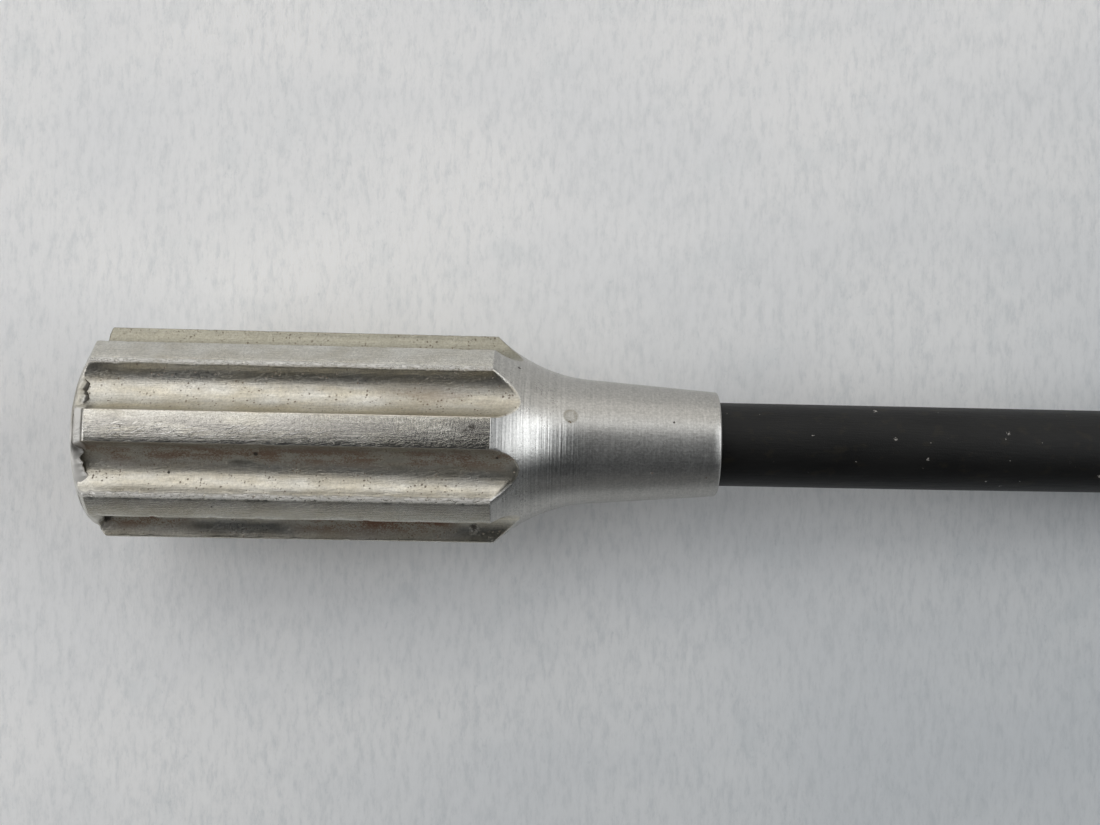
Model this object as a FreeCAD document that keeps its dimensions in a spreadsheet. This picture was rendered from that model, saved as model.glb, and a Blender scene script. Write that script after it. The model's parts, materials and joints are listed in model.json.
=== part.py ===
"""A cable shutter release: a fluted coupling that screws onto a camera, a sheathed drive wire,
and a grip whose plunger pushes the release pin out. Millimetres, +Z up, lying on a table.

The origin is the centre of the coupling's mouth, and +X runs along its axis towards the sheath.
The pieces of the grip are turned about their own X axis, which starts at the cable side."""

import FreeCAD, Part
import math
import os
import Sketcher

Vector = FreeCAD.Vector

SIZES = {
    # coupling sleeve, lengths from the mouth
    "sleeve_front": 0.3,
    "sleeve_front_radius": 5.98,
    "chamfer_end": 0.76,
    "land_front_radius": 6.56,
    "land_rear_radius": 6.45,
    "shoulder_start": 24.6,
    "shoulder_radius": 9.4,
    "neck_start": 30.5,
    "neck_front_radius": 3.85,
    "neck_end": 38.3,
    "neck_rear_radius": 3.23,
    "flute_count": 8,
    "flute_clock": 18.0,
    "flute_centre_radius": 6.95,
    "flute_cutter_radius": 1.7,
    "chamber_radius": 4.1,
    "chamber_end": 24.0,
    "swivel_bore_radius": 3.15,
    "swivel_bore_end": 33.0,
    "neck_bore_radius": 2.85,
    # threaded bush in the mouth
    "rim_radius": 5.6,
    "bush_flange_radius": 5.96,
    "bush_end": 8.0,
    "bush_radius": 4.95,
    "thread_radius": 4.5,
    # what the sleeve turns on
    "clip_start": 21.8,
    "clip_end": 22.4,
    "clip_outer_radius": 4.7,
    "clip_inner_radius": 3.5,
    "clip_gap": 2.4,
    "ferrule_start": 22.5,
    "ferrule_flange_end": 23.7,
    "ferrule_flange_radius": 4.0,
    "ferrule_radius": 3.1,
    "ferrule_end": 32.8,
    "guide_socket_end": 24.5,
    "wire_hole_radius": 1.25,
    "sheath_start": 26.0,
    "washer_end": 23.95,
    "washer_radius": 3.95,
    # release pin and its guide
    "guide_start": 10.5,
    "guide_wall_end": 12.5,
    "guide_radius": 2.4,
    "guide_bore_radius": 0.85,
    "guide_chamber_radius": 1.6,
    "pin_start": 8.5,
    "pin_radius": 0.8,
    "pin_head_start": 19.8,
    "pin_head_end": 20.5,
    "pin_head_radius": 1.3,
    "crimp_end": 22.5,
    # sheath, wound liner and drive wire
    "sheath_radius": 2.6,
    "sheath_bore_radius": 1.7,
    "liner_radius": 1.65,
    "liner_bore_radius": 0.75,
    "wire_radius": 0.5,
    "front_wire_end": 36.0,
    "wire_gap": 0.1,
    "sheath_inset": 10.0,
    "rear_wire_start": 8.0,
    # grip, lengths from its cable side
    "grip_front": 28.0,
    "grip_across": -58.0,
    "grip_ferrule_front_radius": 3.2,
    "grip_cone_end": 12.0,
    "grip_cone_radius": 4.0,
    "barrel_start": 15.0,
    "grip_shoulder_start": 13.6,
    "grip_shoulder_radius": 5.2,
    "barrel_radius": 5.5,
    "barrel_bore_radius": 4.2,
    "barrel_edge": 0.3,
    "barrel_end": 45.0,
    "spigot_end": 21.0,
    "barrel_flute_count": 8,
    "barrel_flute_clock": 11.0,
    "barrel_flute_centre_radius": 6.4,
    "barrel_flute_cutter_radius": 1.3,
    "barrel_flute_start": 17.0,
    "barrel_flute_length": 22.0,
    "flange_start": 42.0,
    "flange_radius": 8.0,
    "flange_bore_radius": 4.9,
    "flange_edge": 0.5,
    "seat_end": 21.8,
    "seat_radius": 4.1,
    "seat_bore_radius": 1.3,
    "spring_radius": 3.2,
    "spring_wire_radius": 0.35,
    "spring_pitch": 1.9,
    "collar_start": 38.0,
    "collar_end": 40.9,
    "collar_radius": 3.9,
    "cap_start": 41.0,
    "cap_flange_end": 46.5,
    "nose_radius": 4.0,
    "nose_end": 52.5,
    "cap_bore_radius": 1.75,
    "lock_ring_start": 46.6,
    "lock_ring_end": 50.6,
    "lock_ring_radius": 6.0,
    "lock_ring_bore_radius": 4.05,
    "lock_ring_edge": 0.4,
    "lock_ring_flute_count": 16,
    "lock_ring_flute_clock": 0.0,
    "lock_ring_flute_centre_radius": 6.45,
    "lock_ring_flute_cutter_radius": 0.75,
    "lock_clip_start": 50.75,
    "lock_clip_end": 51.35,
    "lock_clip_outer_radius": 4.7,
    "lock_clip_inner_radius": 3.6,
    "lock_pin_station": 48.6,
    "lock_pin_radius": 0.7,
    "lock_pin_foot": 1.82,
    "lock_pin_length": 2.1,
    "rod_start": 36.0,
    "rod_radius": 1.7,
    "rod_end": 63.5,
    "rod_socket_end": 44.0,
    "clamp_screw_station": 39.4,
    "clamp_screw_radius": 0.65,
    "clamp_screw_foot": 0.55,
    "clamp_screw_length": 3.2,
    "button_start": 60.5,
    "button_boss_radius": 3.0,
    "button_boss_end": 62.0,
    "button_radius": 5.5,
    "button_end": 66.5,
    "button_rim_radius": 5.0,
    "button_dish_end": 65.6,
    "button_edge": 0.3,
}

# The sheath's route, from the coupling's ferrule to the grip's: straight out of the neck, down
# onto the table, round half a turn beyond the coupling, and back up into the grip.
TABLE = -SIZES["land_front_radius"]
ON_TABLE = TABLE + SIZES["sheath_radius"] + 0.01
GRIP_HEIGHT = TABLE + SIZES["flange_radius"]
ROUTE = [
    (26.0, 0.0, 0.0),
    (46.0, 0.0, 0.0),
    (68.0, 0.0, -2.45),
    (92.0, 0.0, ON_TABLE),
    (109.0, -17.0, ON_TABLE),
    (109.0, -41.0, ON_TABLE),
    (92.0, -58.0, ON_TABLE),
    (66.0, -58.0, -3.1),
    (42.0, -58.0, GRIP_HEIGHT),
    (18.0, -58.0, GRIP_HEIGHT),
]
ARC_SHARE = 0.45

document = FreeCAD.newDocument("cable_release")
pieces = []


def fill_sheet():
    sheet = document.addObject("Spreadsheet::Sheet", "Sizes")
    for row, (word, size) in enumerate(SIZES.items(), start=1):
        sheet.set(f"A{row}", word)
        sheet.set(f"B{row}", str(size))
        sheet.setAlias(f"B{row}", word)
    document.recompute()


def expression(word):
    return f"Sizes.{word}"


def origin_feature(body, role):
    return next(f for f in body.Origin.OriginFeatures if f.Role == role)


def new_sketch(body, role, name):
    sketch = body.newObject("Sketcher::SketchObject", name)
    sketch.AttachmentSupport = [(origin_feature(body, role), "")]
    sketch.MapMode = "FlatFace"
    return sketch


def arc_between(start, end, radius):
    """An arc that is hollow towards +Y, for a profile side that runs towards +X."""
    middle = (start + end) * 0.5
    chord = end - start
    side = Vector(-chord.y, chord.x, 0).normalize()
    centre = middle + side * math.sqrt(radius**2 - (chord.Length / 2) ** 2)
    first, last = (math.atan2((p - centre).y, (p - centre).x) for p in (start, end))
    circle = Part.Circle(centre, Vector(0, 0, 1), radius)
    return Part.ArcOfCircle(circle, first, last)


def pin_vertex(sketch, side, vertex):
    """Hold the start point of a profile side at its station and radius. None means zero."""
    for word, distance, axis in zip(vertex, ("DistanceX", "DistanceY"), (-2, -1), strict=True):
        if word is None:
            sketch.addConstraint(Sketcher.Constraint("PointOnObject", side, 1, axis))
            continue
        held = Sketcher.Constraint(distance, -1, 1, side, 1, SIZES[word])
        index = sketch.addConstraint(held)
        sketch.setExpression(f"Constraints[{index}]", expression(word))


def turned(label, vertices, hollow_sides=None):
    """A body turned about its X axis. vertices are (station, radius) names in order, and
    hollow_sides gives the curve's radius for each side that isn't straight."""
    hollow_sides = hollow_sides or {}
    body = document.addObject("PartDesign::Body", label)
    sketch = new_sketch(body, "XY_Plane", f"{label}_profile")
    points = [Vector(*(SIZES[w] if w else 0.0 for w in v), 0) for v in vertices]
    count = len(points)
    for side, point in enumerate(points):
        following = points[(side + 1) % count]
        if side in hollow_sides:
            edge = arc_between(point, following, SIZES[hollow_sides[side]])
        else:
            edge = Part.LineSegment(point, following)
        sketch.addGeometry(edge, False)
    for side in range(count):
        sketch.addConstraint(Sketcher.Constraint("Coincident", side, 2, (side + 1) % count, 1))
    for side, vertex in enumerate(vertices):
        pin_vertex(sketch, side, vertex)
    for side, word in hollow_sides.items():
        index = sketch.addConstraint(Sketcher.Constraint("Radius", side, SIZES[word]))
        sketch.setExpression(f"Constraints[{index}]", expression(word))
    turn = body.newObject("PartDesign::Revolution", f"{label}_turn")
    turn.Profile = sketch
    turn.ReferenceAxis = (sketch, ["H_Axis"])
    turn.Angle = 360
    return finished(body, label)


def ring(label, start, end, outer, inner):
    return turned(label, [(start, inner), (end, inner), (end, outer), (start, outer)])


def finished(piece, label):
    document.recompute()
    piece.Label = label
    pieces.append(piece)
    return piece


def check_cut(body, before):
    document.recompute()
    if not body.Shape.Volume < before - 1e-3:
        raise RuntimeError(f"{body.Label}: a cut removed nothing")


def chamfer_rims(body, rim, edge):
    """Break every circular edge of one radius."""
    before = body.Shape.Volume
    base = body.Tip
    names = [
        f"Edge{number}"
        for number, line in enumerate(base.Shape.Edges, start=1)
        if line.Curve.TypeId == "Part::GeomCircle" and abs(line.Curve.Radius - SIZES[rim]) < 1e-6
    ]
    chamfer = body.newObject("PartDesign::Chamfer", f"{body.Label}_edge")
    chamfer.Base = (base, names)
    chamfer.setExpression("Size", expression(edge))
    body.Tip = chamfer
    check_cut(body, before)


def cut_flutes(body, prefix, start=None, length=None):
    """Round-bottomed grooves along the body, evenly spaced about its axis."""
    before = body.Shape.Volume
    sketch = new_sketch(body, "YZ_Plane", f"{prefix}_section")
    turn = FreeCAD.Rotation(Vector(0, 0, 1), SIZES[f"{prefix}_clock"])
    offset = Vector(0, 0, SIZES[start] if start else 0)
    sketch.AttachmentOffset = FreeCAD.Placement(offset, turn)
    centre = Vector(0, SIZES[f"{prefix}_centre_radius"], 0)
    radius = SIZES[f"{prefix}_cutter_radius"]
    sketch.addGeometry(Part.Circle(centre, Vector(0, 0, 1), radius), False)
    sketch.addConstraint(Sketcher.Constraint("PointOnObject", 0, 3, -2))
    out = sketch.addConstraint(Sketcher.Constraint("DistanceY", -1, 1, 0, 3, centre.y))
    sketch.setExpression(f"Constraints[{out}]", expression(f"{prefix}_centre_radius"))
    width = sketch.addConstraint(Sketcher.Constraint("Radius", 0, radius))
    sketch.setExpression(f"Constraints[{width}]", expression(f"{prefix}_cutter_radius"))
    groove = body.newObject("PartDesign::Pocket", f"{prefix}_groove")
    groove.Profile = sketch
    groove.Reversed = True
    groove.Type = 0 if length else 1
    if length:
        groove.setExpression("Length", expression(length))
    check_cut(body, before)
    one_groove = before - body.Shape.Volume
    pattern = body.newObject("PartDesign::PolarPattern", f"{prefix}_pattern")
    pattern.Originals = [groove]
    pattern.Axis = (origin_feature(body, "X_Axis"), [""])
    pattern.Angle = 360
    pattern.setExpression("Occurrences", expression(f"{prefix}_count"))
    body.Tip = pattern
    check_cut(body, before - (SIZES[f"{prefix}_count"] - 0.5) * one_groove)


def cut_cross_hole(body, name, station, radius):
    """A round hole from the body's axis out through its +Z side."""
    before = body.Shape.Volume
    sketch = new_sketch(body, "XY_Plane", f"{name}_section")
    centre = Vector(SIZES[station], 0, 0)
    sketch.addGeometry(Part.Circle(centre, Vector(0, 0, 1), SIZES[radius]), False)
    sketch.addConstraint(Sketcher.Constraint("PointOnObject", 0, 3, -1))
    along = sketch.addConstraint(Sketcher.Constraint("DistanceX", -1, 1, 0, 3, centre.x))
    sketch.setExpression(f"Constraints[{along}]", expression(station))
    width = sketch.addConstraint(Sketcher.Constraint("Radius", 0, SIZES[radius]))
    sketch.setExpression(f"Constraints[{width}]", expression(radius))
    hole = body.newObject("PartDesign::Pocket", name)
    hole.Profile = sketch
    hole.Reversed = True
    hole.Type = 1
    body.Tip = hole
    check_cut(body, before)


def snap_ring(label, start, end, outer, inner, opening):
    """A flat open ring, with its gap on the +Y side."""
    round_parts = []
    for name, radius in (("disc", outer), ("eye", inner)):
        part = document.addObject("Part::Cylinder", f"{label}_{name}")
        part.setExpression("Radius", expression(radius))
        part.setExpression("Height", f"{expression(end)} - {expression(start)}")
        part.Placement = along_x(SIZES[start])
        round_parts.append(part)
    gap = document.addObject("Part::Box", f"{label}_gap")
    gap.setExpression("Length", f"{expression(end)} - {expression(start)}")
    gap.setExpression("Width", f"2 * {expression(outer)}")
    gap.setExpression("Height", expression(opening))
    gap.Placement.Base = Vector(SIZES[start], 0, -SIZES[opening] / 2)
    eyed = cut(f"{label}_eyed", *round_parts)
    return finished(cut(label, eyed, gap), label)


def cut(name, base, tool):
    piece = document.addObject("Part::Cut", name)
    piece.Base = base
    piece.Tool = tool
    return piece


def along_x(station, height=0.0):
    return FreeCAD.Placement(
        Vector(station, 0, height), FreeCAD.Rotation(Vector(0, 0, 1), Vector(1, 0, 0))
    )


def rod(label, start, end, radius):
    piece = document.addObject("Part::Cylinder", label)
    piece.setExpression("Radius", expression(radius))
    piece.setExpression("Height", f"{expression(end)} - {expression(start)}")
    piece.Placement = along_x(SIZES[start])
    return finished(piece, label)


def radial_pin(label, station, foot, length, radius):
    """A short pin that stands on the axis's +Z side."""
    piece = document.addObject("Part::Cylinder", label)
    piece.setExpression("Radius", expression(radius))
    piece.setExpression("Height", expression(length))
    piece.Placement.Base = Vector(SIZES[station], 0, SIZES[foot])
    return finished(piece, label)


def route_edges(points):
    """Straight runs joined by tangent arcs, each as large as its two runs allow."""
    points = [Vector(*p) for p in points]
    edges = []
    reached = points[0]
    for before, corner, after in zip(points, points[1:], points[2:]):
        way_in, way_out = before - corner, after - corner
        turn = math.pi - way_in.getAngle(way_out)
        reach = ARC_SHARE * min(way_in.Length, way_out.Length)
        radius = reach / math.tan(turn / 2)
        way_in.normalize()
        way_out.normalize()
        first, last = corner + way_in * reach, corner + way_out * reach
        bisector = (way_in + way_out).normalize()
        inward = math.hypot(reach, radius) - radius
        edges.append(Part.LineSegment(reached, first).toShape())
        edges.append(Part.Arc(first, corner + bisector * inward, last).toShape())
        reached = last
        print(f"route: turns {math.degrees(turn):.1f} degrees at radius {radius:.1f}")
    edges.append(Part.LineSegment(reached, points[-1]).toShape())
    return edges


def trimmed(edges, start, end):
    """The same route with its first and last straight runs shortened to new end points."""
    first = Part.LineSegment(start, edges[0].Vertexes[-1].Point).toShape()
    last = Part.LineSegment(edges[-1].Vertexes[0].Point, end).toShape()
    return [first, *edges[1:-1], last]


def swept(name, spine, radius):
    """A round bar along a spine that leaves its first point towards +X."""
    section = document.addObject("Part::Circle", f"{name}_section")
    section.setExpression("Radius", expression(radius))
    section.Placement = along_x(spine.Shape.Vertexes[0].X)
    bar = document.addObject("Part::Sweep", name)
    bar.Sections = [section]
    bar.Spine = (spine, [])
    bar.Solid = True
    document.recompute()
    expected = math.pi * SIZES[radius] ** 2 * spine.Shape.Length
    if abs(bar.Shape.Volume / expected - 1) > 0.005:
        raise RuntimeError(f"{name}: volume {bar.Shape.Volume:.1f}, expected {expected:.1f}")
    return bar


def make_coupling():
    # The shoulder is hollow, from the lands down to the neck's slow cone.
    sleeve = turned(
        "coupling_sleeve",
        [
            ("sleeve_front", "sleeve_front_radius"),
            ("chamfer_end", "land_front_radius"),
            ("shoulder_start", "land_rear_radius"),
            ("neck_start", "neck_front_radius"),
            ("neck_end", "neck_rear_radius"),
            ("neck_end", "neck_bore_radius"),
            ("swivel_bore_end", "neck_bore_radius"),
            ("swivel_bore_end", "swivel_bore_radius"),
            ("chamber_end", "swivel_bore_radius"),
            ("chamber_end", "chamber_radius"),
            ("clip_end", "chamber_radius"),
            ("clip_end", "clip_outer_radius"),
            ("clip_start", "clip_outer_radius"),
            ("clip_start", "chamber_radius"),
            ("bush_end", "chamber_radius"),
            ("bush_end", "bush_radius"),
            ("sleeve_front", "bush_radius"),
        ],
        hollow_sides={2: "shoulder_radius"},
    )
    cut_flutes(sleeve, "flute")
    turned(
        "mouth_bush",
        [
            (None, "thread_radius"),
            ("bush_end", "thread_radius"),
            ("bush_end", "bush_radius"),
            ("sleeve_front", "bush_radius"),
            ("sleeve_front", "bush_flange_radius"),
            (None, "rim_radius"),
        ],
    )
    snap_ring(
        "retaining_ring",
        "clip_start",
        "clip_end",
        "clip_outer_radius",
        "clip_inner_radius",
        "clip_gap",
    )
    turned(
        "sheath_ferrule",
        [
            ("ferrule_start", "guide_radius"),
            ("guide_socket_end", "guide_radius"),
            ("guide_socket_end", "wire_hole_radius"),
            ("sheath_start", "wire_hole_radius"),
            ("sheath_start", "sheath_radius"),
            ("ferrule_end", "sheath_radius"),
            ("ferrule_end", "ferrule_radius"),
            ("ferrule_flange_end", "ferrule_radius"),
            ("ferrule_flange_end", "ferrule_flange_radius"),
            ("ferrule_start", "ferrule_flange_radius"),
        ],
    )
    ring("thrust_washer", "ferrule_flange_end", "washer_end", "washer_radius", "ferrule_radius")
    turned(
        "pin_guide",
        [
            ("guide_start", "guide_bore_radius"),
            ("guide_wall_end", "guide_bore_radius"),
            ("guide_wall_end", "guide_chamber_radius"),
            ("guide_socket_end", "guide_chamber_radius"),
            ("guide_socket_end", "guide_radius"),
            ("guide_start", "guide_radius"),
        ],
    )
    turned(
        "release_pin",
        [
            ("pin_start", None),
            ("pin_head_end", None),
            ("pin_head_end", "pin_head_radius"),
            ("pin_head_start", "pin_head_radius"),
            ("pin_head_start", "pin_radius"),
            ("pin_start", "pin_radius"),
        ],
    )
    ring("wire_crimp", "pin_head_end", "crimp_end", "pin_head_radius", "wire_radius")
    rod("front_wire", "pin_head_end", "front_wire_end", "wire_radius")


def make_cable():
    edges = route_edges(ROUTE)
    spine = document.addObject("Part::Feature", "sheath_route")
    spine.Shape = Part.Wire(edges)
    tubes = (
        ("sheath", "sheath_radius", "sheath_bore_radius"),
        ("wound_liner", "liner_radius", "liner_bore_radius"),
    )
    for label, outer, inner in tubes:
        tube = cut(label, swept(f"{label}_bar", spine, outer), swept(f"{label}_core", spine, inner))
        finished(tube, label)
    wire_spine = document.addObject("Part::Feature", "wire_route")
    start = Vector(SIZES["front_wire_end"] + SIZES["wire_gap"], 0, 0)
    end = Vector(SIZES["grip_front"], SIZES["grip_across"], GRIP_HEIGHT)
    wire_spine.Shape = Part.Wire(trimmed(edges, start, end))
    finished(swept("drive_wire", wire_spine, "wire_radius"), "drive_wire")
    print(f"sheath: {spine.Shape.Length:.1f} mm long")


def make_grip():
    """The grip's pieces, turned in place about their own axes."""
    first = len(pieces)
    turned(
        "grip_ferrule",
        [
            (None, "sheath_radius"),
            ("sheath_inset", "sheath_radius"),
            ("sheath_inset", "wire_hole_radius"),
            ("spigot_end", "wire_hole_radius"),
            ("spigot_end", "barrel_bore_radius"),
            ("barrel_start", "barrel_bore_radius"),
            ("barrel_start", "grip_shoulder_radius"),
            ("grip_shoulder_start", "grip_shoulder_radius"),
            ("grip_cone_end", "grip_cone_radius"),
            (None, "grip_ferrule_front_radius"),
        ],
    )
    barrel = turned(
        "grip_barrel",
        [
            ("barrel_start", "barrel_bore_radius"),
            ("barrel_end", "barrel_bore_radius"),
            ("barrel_end", "flange_bore_radius"),
            ("flange_start", "flange_bore_radius"),
            ("flange_start", "barrel_radius"),
            ("barrel_start", "barrel_radius"),
        ],
    )
    chamfer_rims(barrel, "barrel_radius", "barrel_edge")
    cut_flutes(barrel, "barrel_flute", "barrel_flute_start", "barrel_flute_length")
    flange = ring(
        "finger_flange", "flange_start", "barrel_end", "flange_radius", "flange_bore_radius"
    )
    chamfer_rims(flange, "flange_radius", "flange_edge")
    ring("spring_seat", "spigot_end", "seat_end", "seat_radius", "seat_bore_radius")
    make_return_spring()
    collar = ring("plunger_collar", "collar_start", "collar_end", "collar_radius", "rod_radius")
    cut_cross_hole(collar, "collar_hole", "clamp_screw_station", "clamp_screw_radius")
    plunger = turned(
        "plunger_rod",
        [
            ("rod_start", "wire_radius"),
            ("rod_socket_end", "wire_radius"),
            ("rod_socket_end", None),
            ("rod_end", None),
            ("rod_end", "rod_radius"),
            ("rod_start", "rod_radius"),
        ],
    )
    cut_cross_hole(plunger, "rod_hole", "clamp_screw_station", "clamp_screw_radius")
    radial_pin(
        "clamp_screw",
        "clamp_screw_station",
        "clamp_screw_foot",
        "clamp_screw_length",
        "clamp_screw_radius",
    )
    rod("rear_wire", "rear_wire_start", "rod_socket_end", "wire_radius")
    cap = turned(
        "end_cap",
        [
            ("cap_start", "cap_bore_radius"),
            ("nose_end", "cap_bore_radius"),
            ("nose_end", "nose_radius"),
            ("lock_clip_end", "nose_radius"),
            ("lock_clip_end", "lock_clip_inner_radius"),
            ("lock_clip_start", "lock_clip_inner_radius"),
            ("lock_clip_start", "nose_radius"),
            ("cap_flange_end", "nose_radius"),
            ("cap_flange_end", "barrel_radius"),
            ("barrel_end", "barrel_radius"),
            ("barrel_end", "barrel_bore_radius"),
            ("cap_start", "barrel_bore_radius"),
        ],
    )
    cut_cross_hole(cap, "lock_pin_hole", "lock_pin_station", "lock_pin_radius")
    lock = ring(
        "lock_ring",
        "lock_ring_start",
        "lock_ring_end",
        "lock_ring_radius",
        "lock_ring_bore_radius",
    )
    chamfer_rims(lock, "lock_ring_radius", "lock_ring_edge")
    cut_flutes(lock, "lock_ring_flute")
    snap_ring(
        "lock_clip",
        "lock_clip_start",
        "lock_clip_end",
        "lock_clip_outer_radius",
        "lock_clip_inner_radius",
        "clip_gap",
    )
    radial_pin(
        "lock_pin", "lock_pin_station", "lock_pin_foot", "lock_pin_length", "lock_pin_radius"
    )
    button = turned(
        "thumb_button",
        [
            ("button_start", "rod_radius"),
            ("rod_end", "rod_radius"),
            ("rod_end", None),
            ("button_dish_end", None),
            ("button_end", "button_rim_radius"),
            ("button_end", "button_radius"),
            ("button_boss_end", "button_radius"),
            ("button_boss_end", "button_boss_radius"),
            ("button_start", "button_boss_radius"),
        ],
    )
    chamfer_rims(button, "button_radius", "button_edge")
    place = FreeCAD.Placement(
        Vector(SIZES["grip_front"], SIZES["grip_across"], GRIP_HEIGHT),
        FreeCAD.Rotation(Vector(0, 0, 1), 180),
    )
    for piece in pieces[first:]:
        piece.Placement = place * piece.Placement


def make_return_spring():
    """A plain coil between the spring seat and the plunger's collar."""
    body = document.addObject("PartDesign::Body", "return_spring")
    sketch = new_sketch(body, "XY_Plane", "spring_section")
    wire = SIZES["spring_wire_radius"]
    centre = Vector(SIZES["seat_end"] + wire, SIZES["spring_radius"], 0)
    sketch.addGeometry(Part.Circle(centre, Vector(0, 0, 1), wire), False)
    held = (
        (Sketcher.Constraint("DistanceX", -1, 1, 0, 3, centre.x), "seat_end", "spring_wire_radius"),
        (Sketcher.Constraint("DistanceY", -1, 1, 0, 3, centre.y), "spring_radius"),
        (Sketcher.Constraint("Radius", 0, wire), "spring_wire_radius"),
    )
    for constraint, *words in held:
        index = sketch.addConstraint(constraint)
        sketch.setExpression(f"Constraints[{index}]", " + ".join(map(expression, words)))
    coil = body.newObject("PartDesign::AdditiveHelix", "spring_coil")
    coil.Profile = sketch
    coil.ReferenceAxis = (sketch, ["H_Axis"])
    coil.Mode = 0
    coil.setExpression("Pitch", expression("spring_pitch"))
    room = f"{expression('collar_start')} - {expression('seat_end')}"
    coil.setExpression("Height", f"{room} - 2 * {expression('spring_wire_radius')}")
    finished(body, "return_spring")


def check_and_write():
    document.recompute()
    for item in document.Objects:
        if {"Invalid", "Error"} & set(item.State):
            raise RuntimeError(f"{item.Label}: {item.State}")
    os.makedirs("parts", exist_ok=True)
    for piece in pieces:
        shape = piece.Shape
        if shape.isNull() or not shape.isValid():
            raise RuntimeError(f"{piece.Label}: no valid shape")
        shape.exportStep(f"parts/{piece.Label}.step")
        print(f"{piece.Label}: {len(shape.Solids)} solid, {shape.Volume:.1f} cubic mm")


fill_sheet()
make_coupling()
make_cable()
make_grip()
check_and_write()
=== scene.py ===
"""The looks of a cable shutter release: its fluted coupling, its sheath and its plunger grip.

Shapes are worked out in millimetres and made in metres, in the frame of the CAD model."""

import json
import math

import bmesh
import bpy
import numpy as np
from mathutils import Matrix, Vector, noise


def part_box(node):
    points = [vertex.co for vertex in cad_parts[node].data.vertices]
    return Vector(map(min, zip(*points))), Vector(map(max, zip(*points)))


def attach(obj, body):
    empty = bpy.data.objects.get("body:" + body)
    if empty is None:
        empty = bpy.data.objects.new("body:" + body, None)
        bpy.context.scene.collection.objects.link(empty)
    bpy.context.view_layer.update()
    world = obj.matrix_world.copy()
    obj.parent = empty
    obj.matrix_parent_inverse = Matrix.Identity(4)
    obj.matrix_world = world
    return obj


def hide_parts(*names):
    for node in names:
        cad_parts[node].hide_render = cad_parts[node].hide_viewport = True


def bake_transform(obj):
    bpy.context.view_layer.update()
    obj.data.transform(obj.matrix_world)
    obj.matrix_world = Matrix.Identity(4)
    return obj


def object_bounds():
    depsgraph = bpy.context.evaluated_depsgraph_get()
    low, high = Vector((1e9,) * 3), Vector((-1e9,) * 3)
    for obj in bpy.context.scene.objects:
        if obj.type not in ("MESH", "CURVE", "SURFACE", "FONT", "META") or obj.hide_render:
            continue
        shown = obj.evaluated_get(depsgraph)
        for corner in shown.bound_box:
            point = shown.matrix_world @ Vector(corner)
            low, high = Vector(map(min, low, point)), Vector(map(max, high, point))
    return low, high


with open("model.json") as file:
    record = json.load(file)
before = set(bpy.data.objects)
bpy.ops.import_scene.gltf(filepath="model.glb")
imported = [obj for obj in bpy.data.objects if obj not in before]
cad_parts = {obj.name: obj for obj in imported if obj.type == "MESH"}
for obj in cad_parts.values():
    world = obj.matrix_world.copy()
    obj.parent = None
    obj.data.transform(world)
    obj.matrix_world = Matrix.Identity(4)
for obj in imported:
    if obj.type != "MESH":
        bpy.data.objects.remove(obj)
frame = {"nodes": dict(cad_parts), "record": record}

CAD_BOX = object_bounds()
MM = 0.001
FLOOR = CAD_BOX[0][2]
LIT_POINT = (0.03, 0.0, 0.0)

# ---------------------------------------------------------------- sizes, in millimetres
SLEEVE_FRONT = 0.3
SHOULDER_START = 24.6
NECK_START = 30.5
NECK_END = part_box("coupling_sleeve")[1].x / MM - 0.005
LAND_FRONT_RADIUS = 6.56
LAND_REAR_RADIUS = 6.45
NECK_FRONT_RADIUS = 3.85
NECK_REAR_RADIUS = 3.23
SHOULDER_RADIUS = 9.4
RIM_RADIUS = 5.6
RIM_SLOPE = 1.25
RIM_SHIFT = -0.2
BUSH_RADIUS = 4.95
BUSH_END = 8.0
THREAD_RADIUS = 4.5
THREAD_DEPTH = 0.2
THREAD_PITCH = 0.5
FLUTE_COUNT = 8
FLUTE_CLOCK = 18.0
FLUTE_CENTRE = 6.95
FLUTE_CUTTER = 1.7
SHEATH_RADIUS = 2.6
SPRING_RADIUS = 3.2
SPRING_WIRE_RADIUS = 0.35
SPRING_PITCH = 1.9

# the camera looks straight down, a little turned; places in millimetres, turns in degrees
SENSOR_WIDTH = 36.0
LENS = 38.9
CAMERA_PLACE = (29.2, 1.8, 74.4)
CAMERA_TURN = (0.0, 1.0, 1.18)

GRIP_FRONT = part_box("grip_ferrule")[1].x / MM
GRIP_LOW, GRIP_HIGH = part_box("finger_flange")
GRIP_AXIS = ((GRIP_LOW.y + GRIP_HIGH.y) / 2 / MM, (GRIP_LOW.z + GRIP_HIGH.z) / 2 / MM)
COUPLING_AXIS = (0.0, 0.0)

ON_TABLE = FLOOR / MM + SHEATH_RADIUS + 0.01
ROUTE = [
    (26.0, 0.0, 0.0),
    (46.0, 0.0, 0.0),
    (68.0, 0.0, -2.45),
    (92.0, 0.0, ON_TABLE),
    (109.0, -17.0, ON_TABLE),
    (109.0, -41.0, ON_TABLE),
    (92.0, -58.0, ON_TABLE),
    (66.0, -58.0, -3.1),
    (42.0, -58.0, GRIP_AXIS[1]),
    (18.0, -58.0, GRIP_AXIS[1]),
]


# ---------------------------------------------------------------- meshes
def new_mesh(name, vertices, faces):
    mesh = bpy.data.meshes.new(name)
    mesh.from_pydata(vertices, [], faces)
    shape = bmesh.new()
    shape.from_mesh(mesh)
    bmesh.ops.remove_doubles(shape, verts=shape.verts, dist=1e-8)
    bmesh.ops.recalc_face_normals(shape, faces=shape.faces)
    shape.to_mesh(mesh)
    shape.free()
    mesh.shade_smooth()
    piece = bpy.data.objects.new(name, mesh)
    bpy.context.scene.collection.objects.link(piece)
    return piece


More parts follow.
